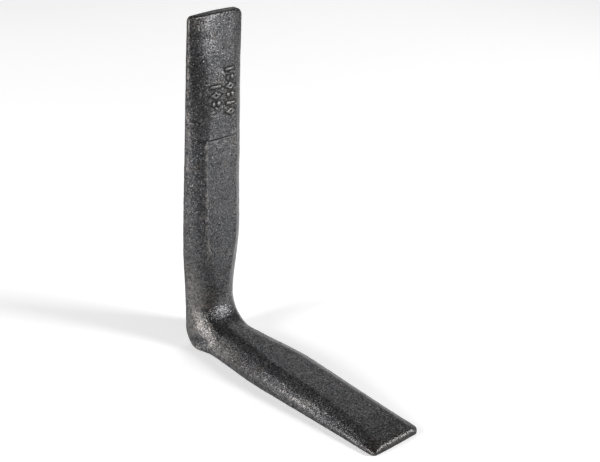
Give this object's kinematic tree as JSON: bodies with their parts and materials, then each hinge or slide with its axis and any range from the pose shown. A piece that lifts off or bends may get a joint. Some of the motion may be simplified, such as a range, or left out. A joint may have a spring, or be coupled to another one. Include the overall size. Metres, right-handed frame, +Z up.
{
  "type": "forged angle bracket",
  "caption": "Forged steel right-angle bar with a tall and a short arm, tapered tips, sloping shoulders and a narrow, thick bend, with flat outer faces for welding or clamping.",
  "frame": {"origin": "middle of the bottom face's length and width, on the surface that the foot lies on", "axes": "+Z up along the upright, +X from the upright along the foot, +Y across the bar's width"},
  "size_m": [0.1554, 0.038, 0.198],
  "materials": {
    "forged_steel": "as-forged dark scale, satin to semi-gloss, with a fine pebbled grain"
  },
  "bodies": {
    "root": {"forged_angle_bar": "forged_steel"}
  },
  "joints": []
}
